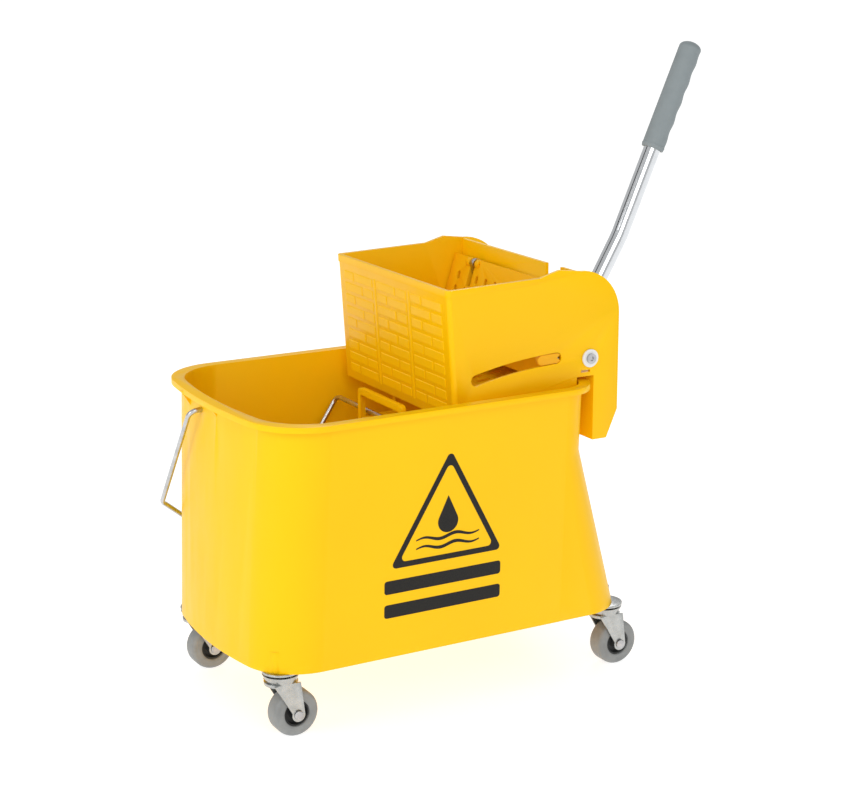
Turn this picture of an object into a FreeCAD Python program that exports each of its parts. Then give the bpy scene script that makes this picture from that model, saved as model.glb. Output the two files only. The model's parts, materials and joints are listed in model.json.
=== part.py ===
import FreeCAD, Part
import math
import os

# Mop bucket with a lift-off lever press wringer, on four swivel casters.
# +X is the lever end, -X is the pouring end, +Z is up and the wheels stand on Z = 0.
# "left" is -Y and "right" is +Y, as seen by someone facing the pouring end.
# Shapes are drawn with X = 0 near the middle of the tub; the export moves them by
# -LENGTH_CENTRE, which puts the origin under the middle of the whole object.

# ---- driving dimensions, millimetres and degrees ----
LENGTH_CENTRE = 78.5

# tub
RIM_TOP = 321.6
RIM_FRONT = -187.3
RIM_REAR = 190.0
RIM_HALF_WIDTH = 145.5
RIM_FRONT_RADIUS = 62.0
RIM_REAR_RADIUS = 40.0
RIM_LIP_HEIGHT = 6.0
RIM_LIP_THICKNESS = 2.5
RIM_THICKNESS = 3.5
RIM_OVERHANG = 8.5
FRONT_BOW = 6.0
WALL = 3.0
TUB_BOTTOM = 70.5
FLOOR_THICKNESS = 3.5
BOTTOM_FRONT = -190.0
BOTTOM_REAR = 176.0
BOTTOM_HALF_WIDTH = 129.5
BOTTOM_FRONT_RADIUS = 60.0
BOTTOM_REAR_RADIUS = 28.0

# rear foot: a hollow wedge under the lever end that carries the rear casters
FOOT_TOP = 250.0
FOOT_TOP_REAR = 181.0
FOOT_TOP_HALF_WIDTH = 134.8
FOOT_TOP_RADIUS = 32.0
FOOT_REAR = 240.0
FOOT_HALF_WIDTH = 129.3
FOOT_RADIUS = 52.0
FOOT_WALL = 3.5

# casters
WHEEL_RADIUS = 24.0
WHEEL_WIDTH = 21.0
HUB_RADIUS = 15.0
HUB_WIDTH = 22.0
AXLE_RADIUS = 3.0
RUNNING_CLEARANCE = 0.05
CASTER_TRAIL = 12.0
CASTER_Y = 101.0
CASTER_FRONT_X = -157.0
CASTER_REAR_X = 225.0
STEM_RADIUS = 5.0
STEM_LENGTH = 18.0
BOSS_RADIUS = 15.0
BOSS_HEIGHT = 26.0
KINGPIN_RADIUS = 4.0
FORK_HALF_GAP = 12.0
FORK_THICKNESS = 2.2
RACE_RADIUS = 19.0
BALL_RADIUS = 1.9
BALL_COUNT = 12
BALL_RING_RADIUS = 11.5

# carrying handle, a bent wire pivoted in both end walls
WIRE_RADIUS = 2.6
HANDLE_Y = 25.0
HANDLE_Z = 306.0
HANDLE_FRONT_X = -191.5
HANDLE_REAR_X = 231.5
HANDLE_LEG = 142.0
HANDLE_REACH = 194.0
HANDLE_REST_ANGLE = 35.0
HANDLE_BEND = 9.0

# wringer body
WRINGER_HALF_WIDTH = 117.0
WRINGER_WALL = 3.5
FRONT_TOP_X = 21.5
FRONT_BOTTOM_X = 31.0
FRONT_TOP_Z = 430.0
WRINGER_BOTTOM_Z = 291.0
FRONT_EDGE_RADIUS = 5.0
HUMP_START = (128.0, 433.0)
HUMP_TOP = (151.0, 439.0)
CHEEK_REAR = 224.5
CHEEK_CORNER_RADIUS = 47.5
CHEEK_CORNER_TOP = 435.5
HOOK_SLOT_FRONT = 174.0
HOOK_SLOT_REAR = 194.5
HOOK_SLOT_TOP = 326.0
HOOK_BOTTOM = 257.5
HOOK_CHAMFER_TOP = 287.0
HOOK_CHAMFER_X = 211.5
SHELF_TOP = 330.0
REAR_WALL_TOP = 434.5
CHAMBER_FLOOR_REAR = 312.0
CHAMBER_FLOOR_FRONT = 300.0
LIP_HEIGHT = 8.0
LIP_PROUD = 1.0

# lever, cranks and press plate
SHAFT_X = 189.2
SHAFT_Z = 344.6
SHAFT_RADIUS = 6.0
BUSH_RADIUS = 8.0
LEVER_Y = -69.5
HINGE_X = 165.5
HINGE_Z = 414.0
HINGE_EYE_RADIUS = 6.0
HINGE_PIN_RADIUS = 3.0
GUIDE_X = 145.0
GUIDE_Z = 348.8
GUIDE_PIN_RADIUS = 3.0
LEVER_TRAVEL = 44.0
PLATE_RATIO = -1.88
PLATE_THICKNESS = 6.0
PLATE_HALF_WIDTH = 111.0
PLATE_ABOVE_HINGE = 5.0
PLATE_BELOW_GUIDE = 24.0
SHOE_AHEAD = 18.0
SHOE_BEHIND = 9.0
SHOE_NOTCH = 4.2
SHOE_SKIN = 1.4
SHOE_HALF_HEIGHT = 5.1
SHOE_ANGLE_REST = 1.9
SLOT_HALF_HEIGHT = 5.9
LEVER_LOWER_LEAN = 30.4
LEVER_UPPER_LEAN = 24.0
LEVER_BEND_DISTANCE = 130.7
LEVER_BEND_RADIUS = 90.0
LEVER_UPPER_LENGTH = 214.0
LEVER_TUBE_RADIUS = 9.0
LEVER_TUBE_WALL = 1.5
SOCKET_RADIUS = 11.5
SOCKET_START = 13.0
SOCKET_END = 52.0
GRIP_RADIUS = 12.3
GRIP_LENGTH = 117.0

# moulded loop and wire prop under the wringer's front wall
LOOP_FRONT = 8.0
LOOP_BAR = 6.0
LOOP_HALF_WIDTH = 47.0
LOOP_TOP = 301.0
LOOP_BOTTOM = 264.0
LOOP_BACK = 56.0
PROP_X = 18.5
PROP_Z = 274.5
PROP_HALF_WIDTH = 116.0
PROP_LEAN = 33.0
PROP_FOOT_Z = 77.5
PROP_FOOT_LENGTH = 18.0

nodes = {}


# ---- general helpers ----
def vec(x, y, z):
    return FreeCAD.Vector(x, y, z)


def in_xy(z):
    return lambda p: vec(p[0], p[1], z)


def in_xz(y):
    return lambda p: vec(p[0], y, p[1])


def wire(place, start, *steps):
    """A closed wire: a step of one point is a line, a step of two is an arc (middle, end)."""
    edges = []
    here = start
    for step in steps + ((start,),):
        end = step[-1]
        if len(step) == 2:
            edges.append(Part.Arc(place(here), place(step[0]), place(end)).toShape())
        elif math.dist(here, end) > 1e-6:
            edges.append(Part.LineSegment(place(here), place(end)).toShape())
        here = end
    return Part.Wire(edges)


def prism_y(outline, y_low, y_high):
    """A solid with a side-view outline drawn at y_low, reaching to y_high."""
    return Part.Face(outline).extrude(vec(0, y_high - y_low, 0))


def box(x, y, z):
    """A box from its (low, high) pairs."""
    return Part.makeBox(x[1] - x[0], y[1] - y[0], z[1] - z[0], vec(x[0], y[0], z[0]))


def cylinder(radius, start, end):
    """A cylinder between two points."""
    a = vec(*start)
    b = vec(*end)
    return Part.makeCylinder(radius, (b - a).Length, a, b - a)


def tube_along_y(outer, inner, x, z, y_low, y_high):
    body = cylinder(outer, (x, y_low, z), (x, y_high, z))
    return body.cut(cylinder(inner, (x, y_low - 1, z), (x, y_high + 1, z)))


def bent_wire(points, bend, radius):
    """A round wire through the points, with an arc of radius bend at each inner point."""
    corners = [vec(*p) for p in points]
    edges = []
    here = corners[0]
    for before, corner, after in zip(corners, corners[1:], corners[2:]):
        towards = (before - corner).normalize()
        away = (after - corner).normalize()
        turn = math.pi - towards.getAngle(away)
        trim = bend * math.tan(turn / 2)
        middle = (towards + away).normalize()
        mid = corner + middle * (bend / math.cos(turn / 2) - bend)
        first = corner + towards * trim
        last = corner + away * trim
        edges.append(Part.LineSegment(here, first).toShape())
        edges.append(Part.Arc(first, mid, last).toShape())
        here = last
    edges.append(Part.LineSegment(here, corners[-1]).toShape())
    path = Part.Wire(edges)
    section = Part.Wire([Part.Circle(corners[0], corners[1] - corners[0], radius).toShape()])
    return path.makePipeShell([section], True, True)


def on_side(shape, side):
    """The shape itself on the left (-1), or its mirror image on the right (+1)."""
    return shape if side < 0 else shape.mirror(vec(0, 0, 0), vec(0, 1, 0))


SIDES = {"left": -1, "right": 1}


# ---- tub ----
def tub_outline(z, front, rear, half_width, front_radius, rear_radius, bow=FRONT_BOW):
    """Plan of the tub: bowed front blended into its corners, straight sides, flat rear."""
    corner_x = front + front_radius + bow
    corner_y = half_width - front_radius
    reach = front_radius + bow
    front_curve = (reach ** 2 + corner_y ** 2 - front_radius ** 2) / (2 * bow)
    centre_x = front + front_curve
    angle = math.atan2(corner_y, centre_x - corner_x)
    join = (centre_x - front_curve * math.cos(angle), front_curve * math.sin(angle))
    half = (angle + math.pi / 2) / 2
    corner_mid = (corner_x - front_radius * math.cos(half), corner_y + front_radius * math.sin(half))
    diagonal = rear_radius * (1 - math.sqrt(0.5))
    rear_mid = (rear - diagonal, half_width - diagonal)

    def flip(p):
        return (p[0], -p[1])

    return wire(
        in_xy(z),
        (rear - rear_radius, half_width),
        ((corner_x, half_width),),
        (corner_mid, join),
        ((front, 0.0), flip(join)),
        (flip(corner_mid), (corner_x, -half_width)),
        ((rear - rear_radius, -half_width),),
        (flip(rear_mid), (rear, -half_width + rear_radius)),
        ((rear, half_width - rear_radius),),
        (rear_mid, (rear - rear_radius, half_width)),
    )


def tub_section(z, inset):
    """The body's plan at height z, drawn in by inset, between its top and bottom sizes."""
    body_top = RIM_TOP - RIM_THICKNESS
    t = (z - TUB_BOTTOM) / (body_top - TUB_BOTTOM)

    def between(low, high):
        return low + (high - low) * t

    return tub_outline(
        z,
        between(BOTTOM_FRONT, RIM_FRONT + RIM_OVERHANG) + inset,
        between(BOTTOM_REAR, RIM_REAR - RIM_OVERHANG) - inset,
        between(BOTTOM_HALF_WIDTH, RIM_HALF_WIDTH - RIM_OVERHANG) - inset,
        between(BOTTOM_FRONT_RADIUS, RIM_FRONT_RADIUS - RIM_OVERHANG + 6.0) - inset,
        between(BOTTOM_REAR_RADIUS, RIM_REAR_RADIUS - RIM_OVERHANG) - inset,
    )


def loft(*sections):
    return Part.makeLoft(list(sections), True, True)


def foot_section(z, rear, half_width, radius):
    diagonal = radius * (1 - math.sqrt(0.5))
    inner_x = 110.0
    return wire(
        in_xy(z),
        (inner_x, -half_width),
        ((rear - radius, -half_width),),
        ((rear - diagonal, -half_width + diagonal), (rear, -half_width + radius)),
        ((rear, half_width - radius),),
        ((rear - diagonal, half_width - diagonal), (rear - radius, half_width)),
        ((inner_x, half_width),),
    )


def foot_solid(inset):
    top = foot_section(
        FOOT_TOP - inset, FOOT_TOP_REAR - inset, FOOT_TOP_HALF_WIDTH - inset, FOOT_TOP_RADIUS - inset)
    bottom = foot_section(
        TUB_BOTTOM - (1.0 if inset else 0.0),
        FOOT_REAR - inset, FOOT_HALF_WIDTH - inset, FOOT_RADIUS - inset)
    return loft(bottom, top)


def rim():
    outline = tub_outline(
        RIM_TOP - RIM_LIP_HEIGHT, RIM_FRONT, RIM_REAR, RIM_HALF_WIDTH, RIM_FRONT_RADIUS, RIM_REAR_RADIUS)
    inner = tub_outline(
        RIM_TOP - RIM_LIP_HEIGHT,
        RIM_FRONT + RIM_LIP_THICKNESS,
        RIM_REAR - RIM_LIP_THICKNESS,
        RIM_HALF_WIDTH - RIM_LIP_THICKNESS,
        RIM_FRONT_RADIUS - RIM_LIP_THICKNESS,
        RIM_REAR_RADIUS - RIM_LIP_THICKNESS,
    )
    full = Part.Face(outline).extrude(vec(0, 0, RIM_LIP_HEIGHT))
    hollow = Part.Face(inner).extrude(vec(0, 0, RIM_LIP_HEIGHT - RIM_THICKNESS))
    return full.cut(hollow)


def handle_gusset(y):
    """A small triangular rib between the front wall and the rim."""
    thickness = 4.0
    depth = 18.0
    top = RIM_TOP - RIM_THICKNESS
    x_wall = RIM_FRONT + RIM_OVERHANG + 4.0
    outline = wire(
        in_xz(y - thickness / 2), (x_wall, top), ((RIM_FRONT + 1.5, top),), ((x_wall, top - depth),))
    return prism_y(outline, y - thickness / 2, y + thickness / 2)


def make_tub():
    body_top = RIM_TOP - RIM_THICKNESS
    outer = loft(tub_section(TUB_BOTTOM, 0.0), tub_section(body_top, 0.0))
    foot = foot_solid(0.0)
    bosses = [
        cylinder(BOSS_RADIUS, (CASTER_REAR_X, y, TUB_BOTTOM), (CASTER_REAR_X, y, TUB_BOTTOM + BOSS_HEIGHT))
        .common(foot) for y in (-CASTER_Y, CASTER_Y)]
    body = outer.fuse([foot.cut(foot_solid(FOOT_WALL)), rim()] + bosses)
    for y in (HANDLE_Y - 36.0, HANDLE_Y + 36.0):
        body = body.fuse(handle_gusset(y))
    cavity = loft(tub_section(TUB_BOTTOM + FLOOR_THICKNESS, WALL), tub_section(RIM_TOP + 4.0, WALL))
    body = body.cut(cavity)
    for y in (-CASTER_Y, CASTER_Y):
        body = body.fuse(cylinder(
            BOSS_RADIUS, (CASTER_FRONT_X, y, TUB_BOTTOM + 1.0),
            (CASTER_FRONT_X, y, TUB_BOTTOM + BOSS_HEIGHT - 4.0)))
    for x in (CASTER_FRONT_X, CASTER_REAR_X):
        for y in (-CASTER_Y, CASTER_Y):
            body = body.cut(cylinder(
                STEM_RADIUS + 0.2, (x, y, TUB_BOTTOM - 1.0), (x, y, TUB_BOTTOM + STEM_LENGTH + 1.0)))
    pivot = WIRE_RADIUS + RUNNING_CLEARANCE
    body = body.cut(cylinder(pivot, (-200.0, HANDLE_Y, HANDLE_Z), (-160.0, HANDLE_Y, HANDLE_Z)))
    body = body.cut(cylinder(pivot, (160.0, HANDLE_Y, HANDLE_Z), (200.0, HANDLE_Y, HANDLE_Z)))
    return body.removeSplitter()


# ---- casters ----
def caster_plate(x, y):
    """Raceway disc with its threaded stem above and its riveted kingpin below."""
    parts = [
        cylinder(RACE_RADIUS, (x, y, 68.0), (x, y, TUB_BOTTOM)),
        cylinder(15.0, (x, y, 65.6), (x, y, 68.0)),
        cylinder(STEM_RADIUS, (x, y, TUB_BOTTOM), (x, y, TUB_BOTTOM + STEM_LENGTH)),
        cylinder(KINGPIN_RADIUS, (x, y, 53.2), (x, y, 68.0)),
        cylinder(6.5, (x, y, 51.4), (x, y, 53.2)),
    ]
    return parts[0].fuse(parts[1:]).removeSplitter()


def caster_balls(x, y):
    balls = []
    for i in range(BALL_COUNT):
        a = 2 * math.pi * i / BALL_COUNT
        centre = vec(x + BALL_RING_RADIUS * math.cos(a), y + BALL_RING_RADIUS * math.sin(a), 63.4)
        balls.append(Part.makeSphere(BALL_RADIUS, centre))
    return Part.makeCompound(balls)


def caster_fork(x, y):
    """Pressed fork: a ball cup on top, and two legs that trail back to the axle."""
    cup = Part.makeCone(14.0, 19.0, 11.0, vec(x, y, 56.0))
    cup = cup.cut(Part.makeCone(13.2, 17.4, 8.0, vec(x, y, 59.0 + 0.8)))
    cup = cup.cut(box((x - 30, x + 30), (y - 30, y + 30), (66.2, 80.0)))
    axle_x = x + CASTER_TRAIL
    leg_y = FORK_HALF_GAP
    top = 58.0
    legs = []
    for side in (-1, 1):
        low = y + side * leg_y - (FORK_THICKNESS if side < 0 else 0.0)
        outline = wire(
            in_xz(low),
            (x - 13.0, top),
            ((x + 15.0, top),),
            ((axle_x + 7.0, WHEEL_RADIUS),),
            ((axle_x, WHEEL_RADIUS - 7.0), (axle_x - 6.6, WHEEL_RADIUS + 2.3)),
        )
        legs.append(prism_y(outline, low, low + FORK_THICKNESS))
    bridge = cylinder(17.0, (x, y, 55.6), (x, y, 58.4))
    bridge = bridge.common(box((x - 30, x + 30), (y - 14.2, y + 14.2), (50, 60)))
    fork = cup.fuse(legs + [bridge])
    fork = fork.cut(cylinder(KINGPIN_RADIUS + RUNNING_CLEARANCE, (x, y, 50.0), (x, y, 80.0)))
    fork = fork.cut(cylinder(
        AXLE_RADIUS, (axle_x, y - 30, WHEEL_RADIUS), (axle_x, y + 30, WHEEL_RADIUS)))
    return fork.removeSplitter()


def caster_axle(x, y):
    """Axle rivet with a domed collar at each end, outside the fork legs."""
    half = FORK_HALF_GAP + FORK_THICKNESS
    head = 1.8
    parts = [cylinder(AXLE_RADIUS, (x, y - half - head, WHEEL_RADIUS), (x, y + half + head, WHEEL_RADIUS))]
    for side in (-1, 1):
        a = y + side * half
        near_end = min(a, a + side * head)
        far_end = max(a, a + side * head)
        parts.append(cylinder(4.8, (x, near_end, WHEEL_RADIUS), (x, far_end, WHEEL_RADIUS)))
    return parts[0].fuse(parts[1:]).removeSplitter()


def caster_hub(x, y):
    """Plastic wheel centre: a rim, a dished web and a bearing barrel, turned about the axle."""
    half = HUB_WIDTH / 2
    bore = AXLE_RADIUS + RUNNING_CLEARANCE
    rim_half = WHEEL_WIDTH / 2 - 1.5
    outline = wire(
        in_xz(0),
        (bore, -half), ((6.0, -half),), ((6.0, -3.0),), ((12.0, -3.0),), ((12.0, -rim_half),),
        ((HUB_RADIUS, -rim_half),), ((HUB_RADIUS, rim_half),), ((12.0, rim_half),), ((12.0, 3.0),),
        ((6.0, 3.0),), ((6.0, half),), ((bore, half),),
    )
    hub = Part.Face(outline).revolve(vec(0, 0, 0), vec(0, 0, 1), 360)
    hub.rotate(vec(0, 0, 0), vec(1, 0, 0), 90)
    hub.translate(vec(x, y, WHEEL_RADIUS))
    return hub


def caster_tyre(x, y):
    """Tyre ring with a crowned tread."""
    half = WHEEL_WIDTH / 2
    outline = wire(
        in_xz(0),
        (HUB_RADIUS, -half + 1.5), ((HUB_RADIUS + 1.0, -half),), ((WHEEL_RADIUS - 4.5, -half),),
        ((WHEEL_RADIUS - 1.4, -half + 1.2), (WHEEL_RADIUS - 0.4, -half + 4.5)),
        ((WHEEL_RADIUS, 0.0), (WHEEL_RADIUS - 0.4, half - 4.5)),
        ((WHEEL_RADIUS - 1.4, half - 1.2), (WHEEL_RADIUS - 4.5, half)),
        ((HUB_RADIUS + 1.0, half),), ((HUB_RADIUS, half - 1.5),),
    )
    tyre = Part.Face(outline).revolve(vec(0, 0, 0), vec(0, 0, 1), 360)
    tyre.rotate(vec(0, 0, 0), vec(1, 0, 0), 90)
    tyre.translate(vec(x, y, WHEEL_RADIUS))
    return tyre


def make_casters():
    for end, x in (("front", CASTER_FRONT_X), ("rear", CASTER_REAR_X)):
        for side, sign in SIDES.items():
            name = f"caster_{end}_{side}"
            y = sign * CASTER_Y
            axle_x = x + CASTER_TRAIL
            nodes[name + "_plate"] = caster_plate(x, y)
            nodes[name + "_balls"] = caster_balls(x, y)
            nodes[name + "_fork"] = caster_fork(x, y)
            nodes[name + "_axle"] = caster_axle(axle_x, y)
            nodes[name + "_hub"] = caster_hub(axle_x, y)
            nodes[name + "_tyre"] = caster_tyre(axle_x, y)


# ---- carrying handle ----
def handle_point(x, reach):
    """A point of the lowered handle, at a distance from its pivot axis."""
    a = math.radians(HANDLE_REST_ANGLE)
    return (x, HANDLE_Y + reach * math.sin(a), HANDLE_Z - reach * math.cos(a))


def make_handle():
    shoulder = HANDLE_REACH - HANDLE_LEG
    inner_front = RIM_FRONT + RIM_OVERHANG + 9.0
    inner_rear = RIM_REAR - RIM_OVERHANG - 6.0
    nodes["carry_handle"] = bent_wire(
        [
            handle_point(inner_front, 0.0),
            handle_point(HANDLE_FRONT_X, 0.0),
            handle_point(HANDLE_FRONT_X, HANDLE_LEG),
            handle_point(HANDLE_FRONT_X + shoulder, HANDLE_REACH),
            handle_point(HANDLE_REAR_X - shoulder, HANDLE_REACH),
            handle_point(HANDLE_REAR_X, HANDLE_LEG),
            handle_point(HANDLE_REAR_X, 0.0),
            handle_point(inner_rear, 0.0),
        ],
        HANDLE_BEND, WIRE_RADIUS)
    washers = []
    for x in (inner_front - 2.6, inner_rear + 0.4):
        disc = cylinder(6.0, (x, HANDLE_Y, HANDLE_Z), (x + 1.0, HANDLE_Y, HANDLE_Z))
        washers.append(disc.cut(cylinder(
            WIRE_RADIUS, (x - 1, HANDLE_Y, HANDLE_Z), (x + 2, HANDLE_Y, HANDLE_Z))))
    nodes["handle_push_nuts"] = Part.makeCompound(washers)


# ---- press linkage ----
def turned(point, centre, degrees):
    """A side-view (X, Z) point turned about a centre, forwards for positive degrees."""
    a = math.radians(degrees)
    dx = point[0] - centre[0]
    dz = point[1] - centre[1]
    return (
        centre[0] + dx * math.cos(a) - dz * math.sin(a),
        centre[1] + dx * math.sin(a) + dz * math.cos(a),
    )


SHAFT = (SHAFT_X, SHAFT_Z)
HINGE = (HINGE_X, HINGE_Z)
GUIDE = (GUIDE_X, GUIDE_Z)


def guide_position(lever_angle):
    """Where the plate's guide pin is when the lever has turned by lever_angle."""
    hinge = turned(HINGE, SHAFT, lever_angle)
    arm = (GUIDE_X - HINGE_X, GUIDE_Z - HINGE_Z)
    loose = (hinge[0] + arm[0], hinge[1] + arm[1])
    return turned(loose, hinge, lever_angle * (1 + PLATE_RATIO))


def unit(a, b):
    length = math.dist(a, b)
    return ((b[0] - a[0]) / length, (b[1] - a[1]) / length)


def shifted(point, direction, distance):
    return (point[0] + direction[0] * distance, point[1] + direction[1] * distance)


def slot_centres():
    """Rear end, middle and front end of the guide slot's curved centre line."""
    rear_pin = guide_position(0.0)
    front_pin = guide_position(LEVER_TRAVEL)
    rear_way = unit(guide_position(1.0), rear_pin)
    front_way = unit(guide_position(LEVER_TRAVEL - 1.0), front_pin)
    rear = shifted(rear_pin, rear_way, SHOE_BEHIND - SHOE_HALF_HEIGHT)
    front = shifted(front_pin, front_way, SHOE_AHEAD - SHOE_HALF_HEIGHT)
    return rear, guide_position(LEVER_TRAVEL * 0.42), front


def slot_outline(y):
    """Curved slot with round ends: two arcs about one centre, joined by half circles."""
    rear, middle, front = slot_centres()
    circle = Part.Arc(in_xz(y)(rear), in_xz(y)(middle), in_xz(y)(front)).toShape().Curve
    centre = (circle.Center.x, circle.Center.z)

    def off_centre(point, distance):
        return shifted(point, unit(centre, point), distance)

    def cap(point, towards):
        along = unit(towards, point)
        across = unit(centre, point)
        side = (across[1], -across[0])
        if side[0] * along[0] + side[1] * along[1] < 0:
            side = (-side[0], -side[1])
        return shifted(point, side, SLOT_HALF_HEIGHT)

    h = SLOT_HALF_HEIGHT
    return wire(
        in_xz(y),
        off_centre(rear, h),
        (off_centre(middle, h), off_centre(front, h)),
        (cap(front, middle), off_centre(front, -h)),
        (off_centre(middle, -h), off_centre(rear, -h)),
        (cap(rear, middle), off_centre(rear, h)),
    )


# ---- wringer body ----
def front_x(z):
    """X of the front wall's outer face, which leans back towards its foot."""
    t = (z - WRINGER_BOTTOM_Z) / (FRONT_TOP_Z - WRINGER_BOTTOM_Z)
    return FRONT_BOTTOM_X + (FRONT_TOP_X - FRONT_BOTTOM_X) * t


def wringer_plan(z, outset, rear):
    """Plan of the box: square at the rear, with rounded front edges."""
    half = WRINGER_HALF_WIDTH + outset
    radius = FRONT_EDGE_RADIUS + outset
    front = front_x(z) - outset
    diagonal = radius * (1 - math.sqrt(0.5))
    return wire(
        in_xy(z),
        (rear, -half),
        ((rear, half),),
        ((front + radius, half),),
        ((front + diagonal, half - diagonal), (front, half - radius)),
        ((front, -half + radius),),
        ((front + diagonal, -half + diagonal), (front + radius, -half)),
    )


def wringer_block(outset, rear):
    return loft(wringer_plan(230.0, outset, rear), wringer_plan(450.0, outset, rear))


def cheek_profile():
    """Side view of the whole wringer: raised cheeks, round rear corner and hook over the rim."""
    corner = (CHEEK_REAR - CHEEK_CORNER_RADIUS, CHEEK_CORNER_TOP - CHEEK_CORNER_RADIUS)
    diagonal = CHEEK_CORNER_RADIUS * math.sqrt(0.5)
    y = -130.0
    outline = wire(
        in_xz(y),
        (0.0, FRONT_TOP_Z),
        (HUMP_START,),
        (HUMP_TOP,),
        ((corner[0], CHEEK_CORNER_TOP),),
        ((corner[0] + diagonal, corner[1] + diagonal), (CHEEK_REAR, corner[1])),
        ((CHEEK_REAR, HOOK_CHAMFER_TOP),),
        ((HOOK_CHAMFER_X, HOOK_BOTTOM),),
        ((HOOK_SLOT_REAR, HOOK_BOTTOM),),
        ((HOOK_SLOT_REAR, HOOK_SLOT_TOP),),
        ((HOOK_SLOT_FRONT, HOOK_SLOT_TOP),),
        ((HOOK_SLOT_FRONT, CHAMBER_FLOOR_REAR - WRINGER_WALL),),
        ((0.0, WRINGER_BOTTOM_Z + 3.0),),
    )
    return prism_y(outline, y, -y)


def chamber():
    """The space inside the four walls, down to the sloping floor."""
    inner = wringer_block(-WRINGER_WALL, HOOK_SLOT_FRONT)
    floor_line = wire(
        in_xz(-130.0),
        (0.0, CHAMBER_FLOOR_FRONT - 3.0),
        ((HOOK_SLOT_FRONT, CHAMBER_FLOOR_REAR),),
        ((HOOK_SLOT_FRONT, 460.0),),
        ((0.0, 460.0),),
    )
    space = inner.common(prism_y(floor_line, -130.0, 130.0))
    low_wall = box((HOOK_SLOT_FRONT - WRINGER_WALL, 180.0), (-130.0, 130.0), (280.0, SHELF_TOP))
    return space.cut(low_wall)


def top_lip():
    """A slightly proud band along the top edge of the front and side walls."""
    band = wire(
        in_xz(-130.0),
        (0.0, FRONT_TOP_Z - LIP_HEIGHT),
        ((HUMP_START[0], HUMP_START[1] - LIP_HEIGHT * 0.6),),
        (HUMP_START,),
        ((0.0, FRONT_TOP_Z),),
    )
    return wringer_block(LIP_PROUD, HUMP_START[0]).common(prism_y(band, -130.0, 130.0))


def drain_slots():
    """Rows of slots through the chamber floor."""
    cutters = []
    for i in range(5):
        x = 52.0 + 24.0 * i
        for j in range(-6, 7):
            y = 16.0 * j
            cutters.append(box((x - 8.0, x + 8.0), (y - 3.0, y + 3.0), (285.0, 316.0)))
    return cutters


def front_loop():
    """Moulded loop under the front wall that carries the wire prop."""
    bars = []
    bars.append(box((LOOP_FRONT, LOOP_FRONT + LOOP_BAR), (-LOOP_HALF_WIDTH, LOOP_HALF_WIDTH),
                    (LOOP_TOP - LOOP_BAR - 1.0, LOOP_TOP)))
    for side in (-1, 1):
        y = (-LOOP_HALF_WIDTH, -LOOP_HALF_WIDTH + LOOP_BAR)
        if side > 0:
            y = (LOOP_HALF_WIDTH - LOOP_BAR, LOOP_HALF_WIDTH)
        bars.append(box((LOOP_FRONT, LOOP_FRONT + LOOP_BAR), y, (LOOP_BOTTOM, LOOP_TOP)))
        bars.append(box((LOOP_FRONT, LOOP_BACK), y, (LOOP_BOTTOM, LOOP_BOTTOM + LOOP_BAR)))
        bars.append(box((LOOP_BACK - LOOP_BAR, LOOP_BACK), y, (LOOP_BOTTOM, 299.0)))
    loop = bars[0].fuse(bars[1:]).removeSplitter()
    corner_edges = []
    for edge in loop.Edges:
        middle = edge.CenterOfMass
        along_x = abs(edge.tangentAt(edge.FirstParameter).x) > 0.99
        outer = abs(abs(middle.y) - LOOP_HALF_WIDTH) < 0.01 and abs(middle.z - LOOP_TOP) < 0.01
        if along_x and outer:
            corner_edges.append(edge)
    return loop.makeFillet(5.0, corner_edges)


def rest_ribs():
    """Ribs under the shelf that stand on the tub's rear rim."""
    ribs = []
    for y in (-96.0, -58.0, -20.0, 56.0, 94.0):
        ribs.append(box((178.0, 192.0), (y - 2.0, y + 2.0), (RIM_TOP + 0.2, HOOK_SLOT_TOP + 0.5)))
    return ribs


def make_wringer_body():
    body = wringer_block(0.0, CHEEK_REAR + 10.0).common(cheek_profile())
    body = body.fuse(top_lip())
    body = body.cut(chamber())
    inner_y = (-WRINGER_HALF_WIDTH + WRINGER_WALL, WRINGER_HALF_WIDTH - WRINGER_WALL)
    rear_face = HOOK_SLOT_FRONT + WRINGER_WALL
    cuts = [
        box((rear_face, 300.0), inner_y, (SHELF_TOP, 460.0)),
        box((HOOK_SLOT_REAR + WRINGER_WALL, 300.0), inner_y, (200.0, SHELF_TOP)),
        box((HOOK_SLOT_FRONT - 0.5, rear_face + 0.5), inner_y, (REAR_WALL_TOP, 460.0)),
        box((HOOK_SLOT_FRONT - 5.0, rear_face + 5.0), (LEVER_Y - 13.5, LEVER_Y + 13.5), (333.0, 460.0)),
        box((HOOK_SLOT_FRONT - 5.0, rear_face + 5.0), (-LEVER_Y - 9.0, -LEVER_Y + 9.0), (333.0, 414.0)),
        box((165.0, 180.0), (HANDLE_Y - 12.0, HANDLE_Y + 12.0), (280.0, 321.0)),
        box((190.0, 205.0), (HANDLE_Y - 9.0, HANDLE_Y + 9.0), (200.0, 318.0)),
        box((179.0, 190.0), (-130.0, 130.0), (SHELF_TOP + 0.2, SHELF_TOP + 2.6)),
        cylinder(BUSH_RADIUS, (SHAFT_X, -130.0, SHAFT_Z), (SHAFT_X, 130.0, SHAFT_Z)),
        prism_y(slot_outline(-130.0), -130.0, 130.0),
    ]
    body = body.fuse(rest_ribs() + [front_loop()])
    body = body.cut(cuts + drain_slots())
    return body.removeSplitter()


def bush(side):
    """Flanged nylon bush for the cross shaft, pressed into a cheek from inside."""
    outer_face = -WRINGER_HALF_WIDTH
    inner_face = outer_face + WRINGER_WALL
    bore = SHAFT_RADIUS + RUNNING_CLEARANCE
    barrel = tube_along_y(BUSH_RADIUS, bore, SHAFT_X, SHAFT_Z, outer_face, inner_face)
    flange = tube_along_y(11.0, bore, SHAFT_X, SHAFT_Z, inner_face, inner_face + 2.0)
    return on_side(barrel.fuse(flange).removeSplitter(), side)


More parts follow.
